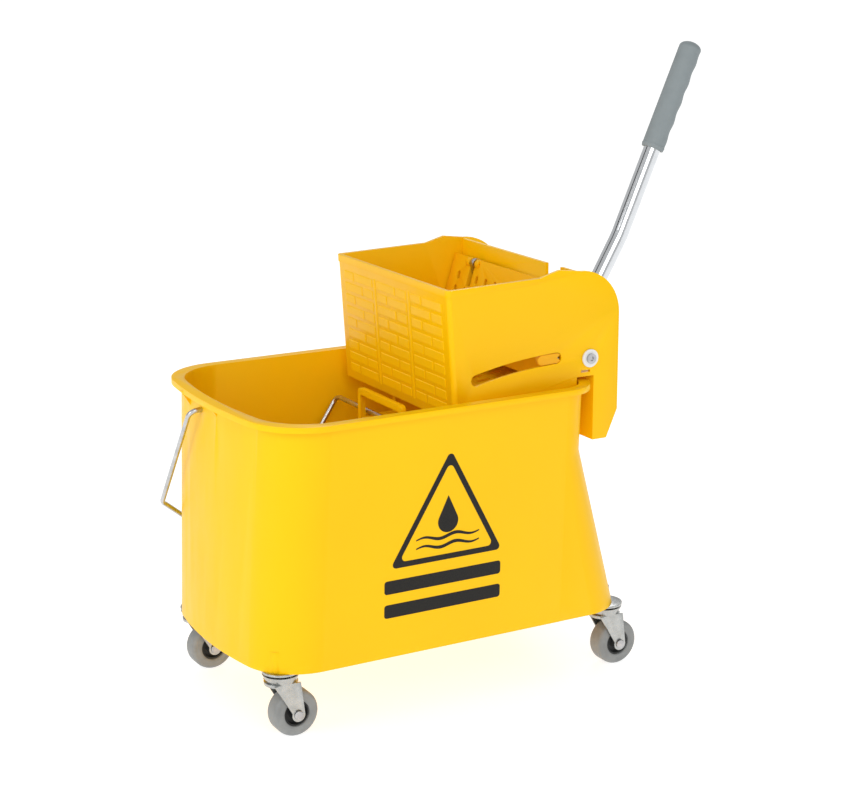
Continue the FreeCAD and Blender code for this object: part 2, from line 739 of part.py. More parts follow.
def return_spring(side):
    """Coiled return spring round the cross shaft."""
    radius = 9.6
    turns = 6
    pitch = 3.4
    start_y = -54.0 if side < 0 else 54.0 - turns * pitch
    helix = Part.makeHelix(pitch, pitch * turns, radius)
    section = Part.Wire([Part.Circle(vec(radius, 0, 0), vec(0, 1, 0), 1.2).toShape()])
    coil = Part.Wire(helix.Edges).makePipeShell([section], True, True)
    coil.rotate(vec(0, 0, 0), vec(1, 0, 0), -90)
    coil.translate(vec(SHAFT_X, start_y, SHAFT_Z))
    return coil


def plate_bumpers():
    """Rubber stops on the rear wall, behind the raised press plate."""
    bumpers = []
    for y in (-30.0, 30.0):
        bumpers.append(cylinder(5.0, (166.4, y, 398.0), (HOOK_SLOT_FRONT, y, 398.0)))
    return Part.makeCompound(bumpers)


# ---- lever and cranks ----
def lever_direction(lean):
    a = math.radians(lean)
    return (math.sin(a), math.cos(a))


LOWER = lever_direction(LEVER_LOWER_LEAN)
UPPER = lever_direction(LEVER_UPPER_LEAN)
LEVER_BEND = shifted(SHAFT, LOWER, LEVER_BEND_DISTANCE)
LEVER_TOP = shifted(LEVER_BEND, UPPER, LEVER_UPPER_LENGTH)


def at_lever(point):
    return (point[0], LEVER_Y, point[1])


def crank(y, with_socket):
    """Hub on the cross shaft with an arm up to the plate hinge, and the lever's socket."""
    hub = cylinder(11.0, (SHAFT_X, y - 10.0, SHAFT_Z), (SHAFT_X, y + 10.0, SHAFT_Z))
    way = unit(SHAFT, HINGE)
    across = (-way[1], way[0])
    arm_low = y - 3.0
    arm_high = y + 3.0
    root = 8.0
    tip = HINGE_EYE_RADIUS
    outline = wire(
        in_xz(arm_low),
        shifted(SHAFT, across, root),
        (shifted(HINGE, across, tip),),
        (shifted(HINGE, way, tip), shifted(HINGE, across, -tip)),
        (shifted(SHAFT, across, -root),),
    )
    body = hub.fuse(prism_y(outline, arm_low, arm_high))
    if with_socket:
        base = shifted(SHAFT, LOWER, 4.0)
        end = shifted(SHAFT, LOWER, SOCKET_END)
        start = shifted(SHAFT, LOWER, SOCKET_START)
        body = body.fuse(cylinder(SOCKET_RADIUS, at_lever(base), at_lever(end)))
        body = body.cut(cylinder(LEVER_TUBE_RADIUS, at_lever(start), at_lever(shifted(end, LOWER, 5.0))))
        screw = shifted(SHAFT, LOWER, 38.0)
        body = body.cut(cylinder(2.0, (screw[0], y - 30.0, screw[1]), (screw[0], y + 30.0, screw[1])))
    body = body.cut(cylinder(SHAFT_RADIUS, (SHAFT_X, y - 20.0, SHAFT_Z), (SHAFT_X, y + 20.0, SHAFT_Z)))
    body = body.cut(cylinder(HINGE_PIN_RADIUS, (HINGE_X, y - 20.0, HINGE_Z), (HINGE_X, y + 20.0, HINGE_Z)))
    return body.removeSplitter()


def lever_tube():
    start = shifted(SHAFT, LOWER, SOCKET_START + 0.5)
    points = [at_lever(start), at_lever(LEVER_BEND), at_lever(shifted(LEVER_TOP, UPPER, -4.0))]
    outer = bent_wire(points, LEVER_BEND_RADIUS, LEVER_TUBE_RADIUS)
    inner = bent_wire(points, LEVER_BEND_RADIUS, LEVER_TUBE_RADIUS - LEVER_TUBE_WALL)
    screw = shifted(SHAFT, LOWER, 38.0)
    tube = outer.cut(inner)
    return tube.cut(cylinder(
        2.0, (screw[0], LEVER_Y - 20.0, screw[1]), (screw[0], LEVER_Y + 20.0, screw[1])))


def lever_screw():
    """Through bolt that fixes the lever tube in its socket."""
    x, z = shifted(SHAFT, LOWER, 38.0)
    shank = cylinder(2.0, (x, LEVER_Y - 12.6, z), (x, LEVER_Y + 12.6, z))
    head = cylinder(3.6, (x, LEVER_Y - 13.0, z), (x, LEVER_Y - 11.5, z))
    nut = cylinder(3.6, (x, LEVER_Y + 11.5, z), (x, LEVER_Y + 13.0, z))
    return shank.fuse([head, nut]).removeSplitter()


def lever_grip():
    """Soft sleeve with a domed end, closed over the top of the tube."""
    bottom = shifted(LEVER_TOP, UPPER, -GRIP_LENGTH)
    dome_base = shifted(LEVER_TOP, UPPER, -6.0)
    sleeve = cylinder(GRIP_RADIUS, at_lever(bottom), at_lever(dome_base))
    dome = Part.makeCone(
        GRIP_RADIUS, 8.0, 6.0, vec(*at_lever(dome_base)), vec(UPPER[0], 0, UPPER[1]))
    bore = cylinder(LEVER_TUBE_RADIUS, at_lever(bottom), at_lever(shifted(LEVER_TOP, UPPER, -4.0)))
    return sleeve.fuse(dome).cut(bore).removeSplitter()


def shaft_bolt(side):
    """Socket-head bolt in the end of the cross shaft."""
    y = -WRINGER_HALF_WIDTH
    head = cylinder(5.2, (SHAFT_X, y - 4.6, SHAFT_Z), (SHAFT_X, y - 1.9, SHAFT_Z))
    socket = cylinder(2.4, (SHAFT_X, y - 5.0, SHAFT_Z), (SHAFT_X, y - 3.0, SHAFT_Z))
    shank = cylinder(2.5, (SHAFT_X, y - 1.9, SHAFT_Z), (SHAFT_X, y + 12.0, SHAFT_Z))
    return on_side(head.cut(socket).fuse(shank).removeSplitter(), side)


def cross_shaft():
    half = WRINGER_HALF_WIDTH + 0.3
    shaft = cylinder(SHAFT_RADIUS, (SHAFT_X, -half, SHAFT_Z), (SHAFT_X, half, SHAFT_Z))
    for side in SIDES.values():
        hole = cylinder(
            2.5, (SHAFT_X, -half - 1.0, SHAFT_Z), (SHAFT_X, -WRINGER_HALF_WIDTH + 12.0, SHAFT_Z))
        shaft = shaft.cut(on_side(hole, side))
    return shaft


def make_lever():
    nodes["cross_shaft"] = cross_shaft()
    nodes["crank_left"] = crank(LEVER_Y, True)
    nodes["crank_right"] = crank(-LEVER_Y, False)
    nodes["lever_tube"] = lever_tube()
    nodes["lever_screw"] = lever_screw()
    nodes["lever_grip"] = lever_grip()
    for name, side in SIDES.items():
        y = -WRINGER_HALF_WIDTH
        washer = tube_along_y(9.3, 2.5, SHAFT_X, SHAFT_Z, y - 1.9, y - 0.3)
        nodes[f"shaft_washer_{name}"] = on_side(washer, side)
        nodes[f"shaft_bolt_{name}"] = shaft_bolt(side)
        pin = cylinder(
            HINGE_PIN_RADIUS, (HINGE_X, LEVER_Y - 12.0, HINGE_Z), (HINGE_X, LEVER_Y + 12.0, HINGE_Z))
        nodes[f"hinge_pin_{name}"] = on_side(pin, side)


# ---- press plate and its guides ----
DOWN = unit(HINGE, GUIDE)
FORWARD = (DOWN[1], -DOWN[0])


def plate_slab(above, below, front, back, y_low, y_high):
    """A slab that runs along the plate's own line, measured down from the hinge axis."""
    corners = [
        shifted(shifted(HINGE, DOWN, along), FORWARD, off)
        for along, off in ((-above, front), (-above, -back), (below, -back), (below, front))]
    outline = wire(in_xz(y_low), corners[0], (corners[1],), (corners[2],), (corners[3],))
    return prism_y(outline, y_low, y_high)


def plate_hole(along, y, half_length, half_width):
    centre = shifted(HINGE, DOWN, along)
    first = shifted(centre, DOWN, -half_length)
    last = shifted(centre, DOWN, half_length)
    reach = 8.0
    parts = []
    for end in (first, last):
        a = shifted(end, FORWARD, -reach)
        b = shifted(end, FORWARD, reach)
        parts.append(cylinder(half_width, (a[0], y, a[1]), (b[0], y, b[1])))
    corners = [shifted(p, FORWARD, off) for p, off in (
        (first, -reach), (first, reach), (last, reach), (last, -reach))]
    outline = wire(in_xz(y - half_width), corners[0], (corners[1],), (corners[2],), (corners[3],))
    parts.append(prism_y(outline, y - half_width, y + half_width))
    return parts


def press_plate():
    half = PLATE_THICKNESS / 2
    below = math.dist(HINGE, GUIDE) + PLATE_BELOW_GUIDE
    plate = plate_slab(PLATE_ABOVE_HINGE, below, half, half, -PLATE_HALF_WIDTH, PLATE_HALF_WIDTH)
    additions = []
    cuts = []
    for y in (LEVER_Y, -LEVER_Y):
        for offset in (-9.0, 9.0):
            a = y + offset
            additions.append(cylinder(5.5, (HINGE_X, a - 3.5, HINGE_Z), (HINGE_X, a + 3.5, HINGE_Z)))
        cuts.append(plate_slab(12.0, 26.0, 12.0, 12.0, y - 4.2, y + 4.2))
        cuts.append(cylinder(
            HINGE_PIN_RADIUS + RUNNING_CLEARANCE,
            (HINGE_X, y - 13.0, HINGE_Z), (HINGE_X, y + 13.0, HINGE_Z)))
    for y in (-100.0, -40.0, 0.0, 40.0, 100.0):
        additions.append(plate_slab(-30.0, below - 8.0, 0.0, half + 4.0, y - 1.5, y + 1.5))
    for side in (-1, 1):
        y = side * (PLATE_HALF_WIDTH - 6.0)
        additions.append(cylinder(6.0, (GUIDE_X, y - 6.0, GUIDE_Z), (GUIDE_X, y + 6.0, GUIDE_Z)))
        cuts.append(cylinder(GUIDE_PIN_RADIUS, (GUIDE_X, y - 10.0, GUIDE_Z), (GUIDE_X, y + 10.0, GUIDE_Z)))
    pitch_y = 18.6
    for i in range(-5, 6):
        for j in range(4):
            along = 17.0 + 15.6 * j
            y = pitch_y * i
            if abs(abs(y) - abs(LEVER_Y)) > 9.0 or along > 32.0:
                cuts += plate_hole(along, y, 2.0, 2.6)
    plate = plate.fuse(additions)
    return plate.cut(cuts).removeSplitter()


def guide_pin(side):
    outer_end = -WRINGER_HALF_WIDTH + 0.6 + SHOE_SKIN + 0.4
    pin = cylinder(
        GUIDE_PIN_RADIUS, (GUIDE_X, outer_end, GUIDE_Z), (GUIDE_X, -PLATE_HALF_WIDTH + 16.0, GUIDE_Z))
    return on_side(pin, side)


def guide_shoe(side):
    """Moulded block that slides in the cheek's curved slot, forked at its rear end.

    A thin skin on its outer face hides the end of the plate's pin."""
    a = math.radians(SHOE_ANGLE_REST)
    ahead = (-math.cos(a), -math.sin(a))
    upward = (ahead[1], -ahead[0])
    h = SHOE_HALF_HEIGHT
    y_low = -WRINGER_HALF_WIDTH + 0.6
    y_high = -PLATE_HALF_WIDTH - 0.5

    def at(along, up):
        return shifted(shifted(GUIDE, ahead, along), upward, up)

    tip = SHOE_AHEAD - h
    prong = h - 2.2
    outline = wire(
        in_xz(y_low),
        at(3.0 - SHOE_BEHIND, h),
        (at(tip, h),),
        (at(SHOE_AHEAD, 0.0), at(tip, -h)),
        (at(3.0 - SHOE_BEHIND, -h),),
        (at(0.5 - SHOE_BEHIND, -prong),),
        (at(SHOE_NOTCH - SHOE_BEHIND, 0.0),),
        (at(0.5 - SHOE_BEHIND, prong),),
    )
    shoe = prism_y(outline, y_low, y_high)
    shoe = shoe.cut(cylinder(
        GUIDE_PIN_RADIUS + RUNNING_CLEARANCE,
        (GUIDE_X, y_low + SHOE_SKIN, GUIDE_Z), (GUIDE_X, 0.0, GUIDE_Z)))
    return on_side(shoe, side)


# ---- wire prop ----
def support_wire():
    """U-shaped wire that hangs in the moulded loop and stands on the tub floor."""
    a = math.radians(PROP_LEAN)
    drop = PROP_Z - PROP_FOOT_Z
    foot_x = PROP_X - drop * math.tan(a)
    w = PROP_HALF_WIDTH
    inner = w - PROP_FOOT_LENGTH
    return bent_wire(
        [
            (foot_x, -inner, PROP_FOOT_Z),
            (foot_x, -w, PROP_FOOT_Z),
            (PROP_X, -w, PROP_Z),
            (PROP_X, w, PROP_Z),
            (foot_x, w, PROP_FOOT_Z),
            (foot_x, inner, PROP_FOOT_Z),
        ],
        8.0, WIRE_RADIUS)


# ---- assembly ----
def make_wringer():
    nodes["wringer_body"] = make_wringer_body()
    nodes["plate_bumpers"] = plate_bumpers()
    nodes["press_plate"] = press_plate()
    nodes["support_wire"] = support_wire()
    for name, side in SIDES.items():
        nodes[f"shaft_bush_{name}"] = bush(side)
        nodes[f"return_spring_{name}"] = return_spring(side)
        nodes[f"guide_pin_{name}"] = guide_pin(side)
        nodes[f"guide_shoe_{name}"] = guide_shoe(side)


nodes["tub"] = make_tub()
make_casters()
make_handle()
make_wringer()
make_lever()

os.makedirs("parts", exist_ok=True)
for name, shape in nodes.items():
    placed = shape.copy()
    placed.translate(vec(-LENGTH_CENTRE, 0, 0))
    placed.exportStep(f"parts/{name}.step")
    if not placed.isValid() or not placed.Solids:
        print("check", name, placed.isValid(), len(placed.Solids))
print(len(nodes), "nodes written")
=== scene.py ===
import json
import math

import bmesh
import bpy
from mathutils import Matrix, Vector


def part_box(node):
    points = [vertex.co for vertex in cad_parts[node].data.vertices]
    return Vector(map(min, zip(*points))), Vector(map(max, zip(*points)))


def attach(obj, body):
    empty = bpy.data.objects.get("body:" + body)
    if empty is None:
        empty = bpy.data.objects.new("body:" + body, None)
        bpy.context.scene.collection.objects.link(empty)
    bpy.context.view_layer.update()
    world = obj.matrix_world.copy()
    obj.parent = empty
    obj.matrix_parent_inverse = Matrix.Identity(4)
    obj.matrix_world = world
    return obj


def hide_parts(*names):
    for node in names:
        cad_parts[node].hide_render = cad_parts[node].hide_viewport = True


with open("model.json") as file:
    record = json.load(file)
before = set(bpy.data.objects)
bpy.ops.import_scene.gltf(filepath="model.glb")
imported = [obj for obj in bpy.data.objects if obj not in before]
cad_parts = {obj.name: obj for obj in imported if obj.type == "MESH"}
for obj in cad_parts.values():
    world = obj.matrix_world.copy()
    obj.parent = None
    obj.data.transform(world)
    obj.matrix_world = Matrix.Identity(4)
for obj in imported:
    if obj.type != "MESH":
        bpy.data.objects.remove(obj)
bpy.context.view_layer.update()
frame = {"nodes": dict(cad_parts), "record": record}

# Looks for a mop bucket with a lever press wringer. Lengths are written in millimetres in the
# part's own drawing, whose zero lies 190 mm behind the tub's front at the floor, and at()
# turns them into the frame's metres.

MM = 0.001
TUB_LOW, TUB_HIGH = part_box("tub")
TUB_FRONT = -190.0
ZERO_X = TUB_LOW[0] - TUB_FRONT * MM

BODY_OF = {}
for body_name, node_names in frame["record"]["behaviour"]["bodies"].items():
    for node_name in node_names:
        BODY_OF[node_name] = body_name
SLOT_OF = {part["node"]: part["material_slot"] for part in frame["record"]["subparts"]}


def at(x, y, z):
    """A point of the drawing, as a vector in metres."""
    return Vector((ZERO_X + x * MM, y * MM, z * MM))


# ---- materials ----
# the part of a noise texture's 0 to 1 range in which most of its values lie
MIDDLE_START = 0.3
MIDDLE_END = 0.7


def new_material(name):
    """A node material, its tree and its surface shader."""
    material = bpy.data.materials.new(name)
    material.use_nodes = True
    tree = material.node_tree
    shader = tree.nodes["Principled BSDF"]
    return material, tree, shader


def noise(tree, scale, detail=3.0, roughness=0.5, stretch=(1.0, 1.0, 1.0)):
    """A noise texture in object space, where one unit is a metre."""
    place = tree.nodes.new("ShaderNodeTexCoord")
    mapping = tree.nodes.new("ShaderNodeMapping")
    mapping.inputs["Scale"].default_value = stretch
    texture = tree.nodes.new("ShaderNodeTexNoise")
    texture.inputs["Scale"].default_value = scale
    texture.inputs["Detail"].default_value = detail
    texture.inputs["Roughness"].default_value = roughness
    tree.links.new(place.outputs["Object"], mapping.inputs["Vector"])
    tree.links.new(mapping.outputs["Vector"], texture.inputs["Vector"])
    return texture.outputs["Fac"]


def remap(tree, value, low, high):
    """Stretches the middle of a 0 to 1 value so that it runs from low to high."""
    node = tree.nodes.new("ShaderNodeMapRange")
    node.inputs["From Min"].default_value = MIDDLE_START
    node.inputs["From Max"].default_value = MIDDLE_END
    node.inputs["To Min"].default_value = low
    node.inputs["To Max"].default_value = high
    tree.links.new(value, node.inputs["Value"])
    return node.outputs["Result"]


def two_tone(tree, value, first, second):
    """A colour that runs from first to second over the middle of a 0 to 1 value."""
    ramp = tree.nodes.new("ShaderNodeValToRGB")
    ramp.color_ramp.elements[0].position = MIDDLE_START
    ramp.color_ramp.elements[0].color = (*first, 1.0)
    ramp.color_ramp.elements[1].position = MIDDLE_END
    ramp.color_ramp.elements[1].color = (*second, 1.0)
    tree.links.new(value, ramp.inputs["Fac"])
    return ramp.outputs["Color"]


def add_bump(tree, shader, height, strength, distance_mm, base=None):
    """Fine relief on a shader, laid over another bump where base gives one."""
    bump = tree.nodes.new("ShaderNodeBump")
    bump.inputs["Strength"].default_value = strength
    bump.inputs["Distance"].default_value = distance_mm * MM
    tree.links.new(height, bump.inputs["Height"])
    if base is not None:
        tree.links.new(base.outputs["Normal"], bump.inputs["Normal"])
    tree.links.new(bump.outputs["Normal"], shader.inputs["Normal"])
    return bump


def moulded_plastic(name, light, dark, roughness, translucency=0.0):
    """Moulded plastic: slow colour drift, patchy gloss, faint flow marks and a fine grain."""
    material, tree, shader = new_material(name)
    drift = noise(tree, 6.0, 2.0)
    tree.links.new(two_tone(tree, drift, dark, light), shader.inputs["Base Color"])
    scuffs = noise(tree, 45.0, 6.0, 0.65, (1.0, 1.0, 0.35))
    tree.links.new(remap(tree, scuffs, roughness - 0.05, roughness + 0.09), shader.inputs["Roughness"])
    flow = add_bump(tree, shader, noise(tree, 28.0, 2.0), 0.10, 0.5)
    add_bump(tree, shader, noise(tree, 2600.0, 2.0), 0.12, 0.03, flow)
    shader.inputs["IOR"].default_value = 1.49
    shader.inputs["Specular IOR Level"].default_value = 0.18
    shader.inputs["Subsurface Weight"].default_value = translucency
    shader.inputs["Subsurface Radius"].default_value = (1.0, 0.55, 0.05)
    shader.inputs["Subsurface Scale"].default_value = 0.004
    return material


def plated_steel(name, light, dark, roughness, grain=(1.0, 1.0, 1.0), scratches=0.06):
    """Plated steel: bright, with cloudy zinc bloom and fine drawing marks."""
    material, tree, shader = new_material(name)
    bloom = noise(tree, 120.0, 4.0, 0.6)
    tree.links.new(two_tone(tree, bloom, dark, light), shader.inputs["Base Color"])
    marks = noise(tree, 700.0, 4.0, 0.6, grain)
    tree.links.new(remap(tree, marks, roughness - 0.04, roughness + 0.06), shader.inputs["Roughness"])
    add_bump(tree, shader, marks, scratches, 0.02)
    shader.inputs["Metallic"].default_value = 1.0
    return material


def soft_rubber(name, light, dark, roughness, grain_scale):
    """Matt rubber with a fine pebbled skin and a little dust in its colour."""
    material, tree, shader = new_material(name)
    dust = noise(tree, 60.0, 5.0, 0.6)
    tree.links.new(two_tone(tree, dust, dark, light), shader.inputs["Base Color"])
    tree.links.new(remap(tree, dust, roughness - 0.06, roughness + 0.08), shader.inputs["Roughness"])
    add_bump(tree, shader, noise(tree, grain_scale, 3.0), 0.25, 0.05)
    shader.inputs["IOR"].default_value = 1.45
    return material


def printed_ink(name):
    """Screen-printed ink, slightly thin in places."""
    material, tree, shader = new_material(name)
    wear = noise(tree, 900.0, 4.0, 0.7)
    colour = two_tone(tree, wear, (0.012, 0.012, 0.013), (0.028, 0.026, 0.022))
    tree.links.new(colour, shader.inputs["Base Color"])
    tree.links.new(remap(tree, wear, 0.36, 0.5), shader.inputs["Roughness"])
    add_bump(tree, shader, wear, 0.1, 0.02)
    shader.inputs["Specular IOR Level"].default_value = 0.15
    return material


MATERIALS = {
    "yellow_plastic": moulded_plastic(
        "yellow_polypropylene", (1.0, 0.580, 0.0), (0.985, 0.553, 0.0), 0.34, translucency=0.05),
    "plate_plastic": moulded_plastic(
        "press_plate_plastic", (1.0, 0.55, 0.004), (0.97, 0.52, 0.002), 0.38, translucency=0.05),
    "shoe_plastic": moulded_plastic("orange_acetal", (0.95, 0.50, 0.02), (0.90, 0.42, 0.01), 0.42),
    "white_nylon": moulded_plastic("white_nylon", (0.86, 0.87, 0.86), (0.80, 0.81, 0.80), 0.38),
    "hub_plastic": moulded_plastic(
        "dark_hub_plastic", (0.060, 0.062, 0.062), (0.035, 0.036, 0.036), 0.45),
    "grey_grip": soft_rubber(
        "grey_grip_rubber", (0.255, 0.290, 0.300), (0.225, 0.258, 0.268), 0.62, grain_scale=1500.0),
    "grey_tyre": soft_rubber(
        "grey_tyre_rubber", (0.300, 0.308, 0.304), (0.225, 0.232, 0.228), 0.55, grain_scale=1100.0),
    "black_rubber": soft_rubber(
        "black_bumper_rubber", (0.035, 0.035, 0.035), (0.02, 0.02, 0.02), 0.6, grain_scale=1500.0),
    "chrome_tube": plated_steel(
        "chromed_tube", (0.74, 0.76, 0.78), (0.68, 0.70, 0.72), 0.10, (1.0, 1.0, 0.05), scratches=0.02),
    "zinc_fork": plated_steel("bright_zinc_pressing", (0.52, 0.53, 0.52), (0.40, 0.41, 0.40), 0.26),
    "zinc_wire": plated_steel(
        "drawn_zinc_wire", (0.60, 0.61, 0.62), (0.46, 0.47, 0.48), 0.28, (1.0, 1.0, 0.1)),
    "steel_bright": plated_steel("machined_steel", (0.55, 0.55, 0.56), (0.42, 0.42, 0.43), 0.24),
}
INK = printed_ink("black_print")


# ---- mesh helpers ----
# vertices closer than this are one, in mm, and faces meeting below the flat angle are one face
WELD_DISTANCE = 0.002
FLAT_ANGLE = 0.6
# edges above this angle are rounded
SHARP_ANGLE = 30.0


def middle_of(node):
    """The middle of a CAD node's box."""
    low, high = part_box(node)
    return (Vector(low) + Vector(high)) / 2


def mesh_from(shape, name):
    """Closes a bmesh and returns it as a mesh."""
    mesh = bpy.data.meshes.new(name)
    shape.to_mesh(mesh)
    shape.free()
    return mesh


def mesh_from_curve(curve):
    """The mesh of a curve's surface. The object that carries the curve is removed again."""
    carrier = bpy.data.objects.new(curve.name + "_line", curve)
    bpy.context.scene.collection.objects.link(carrier)
    evaluated = carrier.evaluated_get(bpy.context.evaluated_depsgraph_get())
    mesh = bpy.data.meshes.new_from_object(evaluated)
    bpy.data.objects.remove(carrier)
    return mesh


def add_piece(name, mesh, slot, body, *replaced):
    """Puts a mesh in the scene, gives it its slot's material and lets it ride on a body."""
    piece = bpy.data.objects.new(name, mesh)
    bpy.context.scene.collection.objects.link(piece)
    mesh.materials.clear()
    mesh.materials.append(MATERIALS[slot])
    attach(piece, body)
    if replaced:
        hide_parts(*replaced)
    return piece


def smooth(piece, degrees):
    """Smooth shading that keeps edges sharper than the angle."""
    for polygon in piece.data.polygons:
        polygon.use_smooth = True
    piece.data.set_sharp_from_angle(angle=math.radians(degrees))


def softened(node, width_mm):
    """A CAD node's shape with its sharp edges rounded, standing for that node."""
    shape = bmesh.new()
    shape.from_mesh(frame["nodes"][node].data)
    bmesh.ops.remove_doubles(shape, verts=shape.verts, dist=WELD_DISTANCE * MM)
    bmesh.ops.dissolve_limit(
        shape, angle_limit=math.radians(FLAT_ANGLE), verts=shape.verts, edges=shape.edges,
        delimit={"NORMAL"})
    mesh = mesh_from(shape, node + "_skin")
    piece = add_piece(node + "_skin", mesh, SLOT_OF[node], BODY_OF[node], node)
    bevel = piece.modifiers.new("edge_radius", "BEVEL")
    bevel.width = width_mm * MM
    bevel.segments = 2
    bevel.limit_method = "ANGLE"
    bevel.angle_limit = math.radians(SHARP_ANGLE)
    bevel.use_clamp_overlap = True
    bevel.harden_normals = True
    bevel.miter_outer = "MITER_ARC"
    for polygon in mesh.polygons:
        polygon.use_smooth = True


def turned(name, profile, centre, slot, body, replaced, steps):
    """A ring turned round Y. profile is its closed section, as (radius, along Y) in mm."""
    shape = bmesh.new()
    turn = Vector((0, 0, 1)).rotation_difference(Vector((0, 1, 0))).to_matrix().to_4x4()
    move = Matrix.Translation(centre) @ turn
    rings = []
    for radius, along in profile:
        ring = []
        for i in range(steps):
            a = 2 * math.pi * i / steps
            ring.append(shape.verts.new(
                move @ Vector((radius * MM * math.cos(a), radius * MM * math.sin(a), along * MM))))
        rings.append(ring)
    for low, high in zip(rings, rings[1:] + rings[:1]):
        for i in range(steps):
            j = (i + 1) % steps
            shape.faces.new((low[i], low[j], high[j], high[i]))
    bmesh.ops.recalc_face_normals(shape, faces=shape.faces)
    smooth(add_piece(name, mesh_from(shape, name), slot, body, replaced), 32.0)


def rounded(corners, radius):
    """An outline with every corner rounded, as a list of (u, v) points."""
    steps = 6
    points = []
    count = len(corners)
    for i in range(count):
        before = Vector(corners[i - 1])
        corner = Vector(corners[i])
        after = Vector(corners[(i + 1) % count])
        a = (before - corner).normalized()
        b = (after - corner).normalized()
        half = a.angle(b) / 2
        trim = radius / math.tan(half)
        centre = corner + (a + b).normalized() * (radius / math.sin(half))
        start = corner + a * trim - centre
        sweep = start.angle_signed(corner + b * trim - centre)
        for k in range(steps + 1):
            points.append(tuple(centre + Matrix.Rotation(-sweep * k / steps, 2) @ start))
    return points


def swept_wire(name, points, radius_mm, slot, body, replaced):
    """A round wire along points that are already in metres."""
    curve = bpy.data.curves.new(name, "CURVE")
    curve.dimensions = "3D"
    spline = curve.splines.new("POLY")
    spline.points.add(len(points) - 1)
    for target, point in zip(spline.points, points):
        target.co = (*point, 1.0)
    curve.bevel_depth = radius_mm * MM
    curve.bevel_resolution = 3
    curve.use_fill_caps = True
    mesh = mesh_from_curve(curve)
    mesh.name = name
    smooth(add_piece(name, mesh, slot, body, replaced), 50.0)


# ---- moulded shells ----
def dress_shells():
    """Gives the mouldings, the guide shoes and the cranks their rounded edges."""
    softened("tub", width_mm=0.9)
    softened("wringer_body", width_mm=0.7)
    softened("press_plate", width_mm=0.4)
    for side in ("left", "right"):
        softened("guide_shoe_" + side, width_mm=0.4)
        softened("crank_" + side, width_mm=0.5)


# ---- wringer front pattern ----
# the leaning front wall's outer face, as (x, z) at its top and foot
WRINGER_FRONT_TOP = (21.5, 430.0)
WRINGER_FRONT_FOOT = (31.0, 291.0)
PATTERN_TOP = 417.0
PATTERN_FOOT = 303.0
PATTERN_HALF_WIDTH = 104.0
PATTERN_RELIEF = 0.6
PATTERN_SINK = 0.3
PATTERN_SLOPE = 0.8
PATTERN_COLUMNS = 3
PATTERN_ROWS = 9
PATTERN_STRIP = 7.0
PATTERN_GAP = 2.6
# share of a column's width that the shorter of a row's two bars takes
PATTERN_SHORT_BAR = 0.36


def front_wall_x(z):
    """X of the wringer's leaning front wall at height z."""
    (top_x, top_z), (foot_x, foot_z) = WRINGER_FRONT_TOP, WRINGER_FRONT_FOOT
    return foot_x + (top_x - foot_x) * (z - foot_z) / (top_z - foot_z)


def raised_tile(shape, y_low, y_high, z_low, z_high):
    """A low pad with sloping sides on the front wall."""
    base = []
    crown = []
    for y, z, inward_y, inward_z in (
            (y_low, z_low, 1, 1), (y_high, z_low, -1, 1), (y_high, z_high, -1, -1), (y_low, z_high, 1, -1)):
        base.append(shape.verts.new(at(front_wall_x(z) + PATTERN_SINK, y, z)))
        inner_y = y + inward_y * PATTERN_SLOPE
        inner_z = z + inward_z * PATTERN_SLOPE
        crown.append(shape.verts.new(at(front_wall_x(inner_z) - PATTERN_RELIEF, inner_y, inner_z)))
    shape.faces.new(crown)
    shape.faces.new(base[::-1])
    for i in range(4):
        j = (i + 1) % 4
        shape.faces.new((base[i], base[j], crown[j], crown[i]))


def dress_front_pattern():
    """Basket-weave relief: three columns of staggered bars between upright strips."""
    shape = bmesh.new()
    strips = PATTERN_COLUMNS - 1
    column_width = (2 * PATTERN_HALF_WIDTH - strips * PATTERN_STRIP) / PATTERN_COLUMNS
    row_height = (PATTERN_TOP - PATTERN_FOOT) / PATTERN_ROWS
    column_edge = 1.0
    strip_edge = 1.2
    for c in range(PATTERN_COLUMNS):
        start = -PATTERN_HALF_WIDTH + c * (column_width + PATTERN_STRIP)
        if c:
            raised_tile(
                shape, start - PATTERN_STRIP + strip_edge, start - strip_edge, PATTERN_FOOT, PATTERN_TOP)
        for r in range(PATTERN_ROWS):
            low = PATTERN_FOOT + r * row_height + PATTERN_GAP / 2
            high = low + row_height - PATTERN_GAP
            share = PATTERN_SHORT_BAR if (r + c) % 2 else 1 - PATTERN_SHORT_BAR
            split = start + column_width * share
            raised_tile(shape, start + column_edge, split - PATTERN_GAP / 2, low, high)
            raised_tile(shape, split + PATTERN_GAP / 2, start + column_width - column_edge, low, high)
    bmesh.ops.recalc_face_normals(shape, faces=shape.faces)
    mesh = mesh_from(shape, "front_basket_relief")
    piece = add_piece("front_basket_relief", mesh, "yellow_plastic", "wringer")
    bevel = piece.modifiers.new("edge_radius", "BEVEL")
    bevel.width = 0.35 * MM
    bevel.segments = 2


# ---- print on the tub's left wall ----
# the wall's outer face leans: its half width and height, as (y, z) at its foot and head
WALL_FOOT = (129.5, 70.5)
WALL_HEAD = (137.0, 318.1)
PRINT_GAP = 0.02
PRINT_THICKNESS = 0.15
# corners of the triangle, as (x, z)
TRIANGLE = ((-52.0, 163.5), (76.0, 163.5), (15.0, 277.0))
TRIANGLE_HOLE = 0.845
WAVE_HEIGHTS = (188.5, 179.5)
WAVE_HALF_LENGTH = 36.0
BAR_ENDS = (-58.0, 75.0)
BAR_HEIGHTS = ((137.5, 151.5), (112.5, 126.5))


def on_wall(x, z, lift):
    """A point on the left wall, lift mm proud of it."""
    (foot_y, foot_z), (head_y, head_z) = WALL_FOOT, WALL_HEAD
    y = foot_y + (head_y - foot_y) * (z - foot_z) / (head_z - foot_z)
    return at(x, -(y + lift), z)


